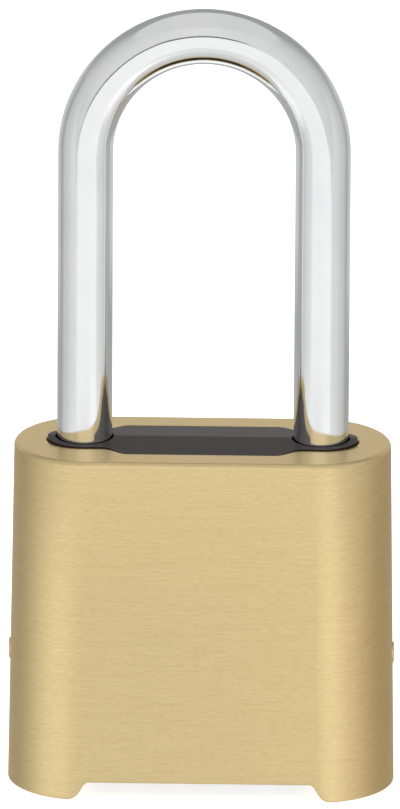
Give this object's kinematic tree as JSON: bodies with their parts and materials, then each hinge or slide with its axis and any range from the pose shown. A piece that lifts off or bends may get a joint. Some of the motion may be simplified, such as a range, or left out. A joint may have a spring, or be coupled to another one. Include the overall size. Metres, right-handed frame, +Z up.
{
  "type": "combination padlock",
  "caption": "Rectangular solid padlock body with half-elliptic ends, a long round U shackle, a dark top guard and digit dials in its base.",
  "frame": {"origin": "middle of the plane that the two feet stand on", "axes": "+X across the width to the long shackle leg, +Y to the back face, +Z up along the shackle legs"},
  "size_m": [0.0558, 0.027, 0.1138],
  "materials": {
    "body_brass": "brushed satin",
    "shackle_chrome": "polished plate",
    "guard_plastic": "fine matte",
    "dial_plastic": "satin",
    "digit_white": "paint in recesses",
    "cast_zinc": "as cast zinc",
    "spring_steel": "drawn"
  },
  "bodies": {
    "body": {"body_shell": "body_brass", "top_guard": "guard_plastic", "lock_frame": "cast_zinc", "frame_screws": "spring_steel", "dial_cage": "cast_zinc", "dial_shaft": "spring_steel", "shaft_clips": "spring_steel", "tumbler_spring": "spring_steel", "bottom_bezel": "guard_plastic", "side_pin_left": "body_brass", "side_pin_right": "body_brass", "toe_detent_spring": "spring_steel", "detent_spring_1": "spring_steel", "detent_spring_2": "spring_steel", "detent_spring_3": "spring_steel", "detent_spring_4": "spring_steel"},
    "shackle": {"shackle": "shackle_chrome", "fence_comb": "spring_steel"},
    "dial_1": {"dial_1": "dial_plastic", "tumbler_1": "cast_zinc"},
    "dial_2": {"dial_2": "dial_plastic", "tumbler_2": "cast_zinc"},
    "dial_3": {"dial_3": "dial_plastic", "tumbler_3": "cast_zinc"},
    "dial_4": {"dial_4": "dial_plastic", "tumbler_4": "cast_zinc"}
  },
  "joints": [
    {"name": "shackle_lift", "type": "slide", "parent": "body", "child": "shackle", "axis": [0, 0, 1], "range_m": [0, 0.014], "deforming": ["toe_detent_spring"]},
    {"name": "dial_1_turn", "type": "hinge", "parent": "body", "child": "dial_1", "pos_m": [-0.00945, 0, 0.0104], "axis": [1, 0, 0], "continuous": true, "deforming": ["detent_spring_1"]},
    {"name": "dial_2_turn", "type": "hinge", "parent": "body", "child": "dial_2", "pos_m": [-0.00315, 0, 0.0104], "axis": [1, 0, 0], "continuous": true, "deforming": ["detent_spring_2"]},
    {"name": "dial_3_turn", "type": "hinge", "parent": "body", "child": "dial_3", "pos_m": [0.00315, 0, 0.0104], "axis": [1, 0, 0], "continuous": true, "deforming": ["detent_spring_3"]},
    {"name": "dial_4_turn", "type": "hinge", "parent": "body", "child": "dial_4", "pos_m": [0.00945, 0, 0.0104], "axis": [1, 0, 0], "continuous": true, "deforming": ["detent_spring_4"]}
  ]
}
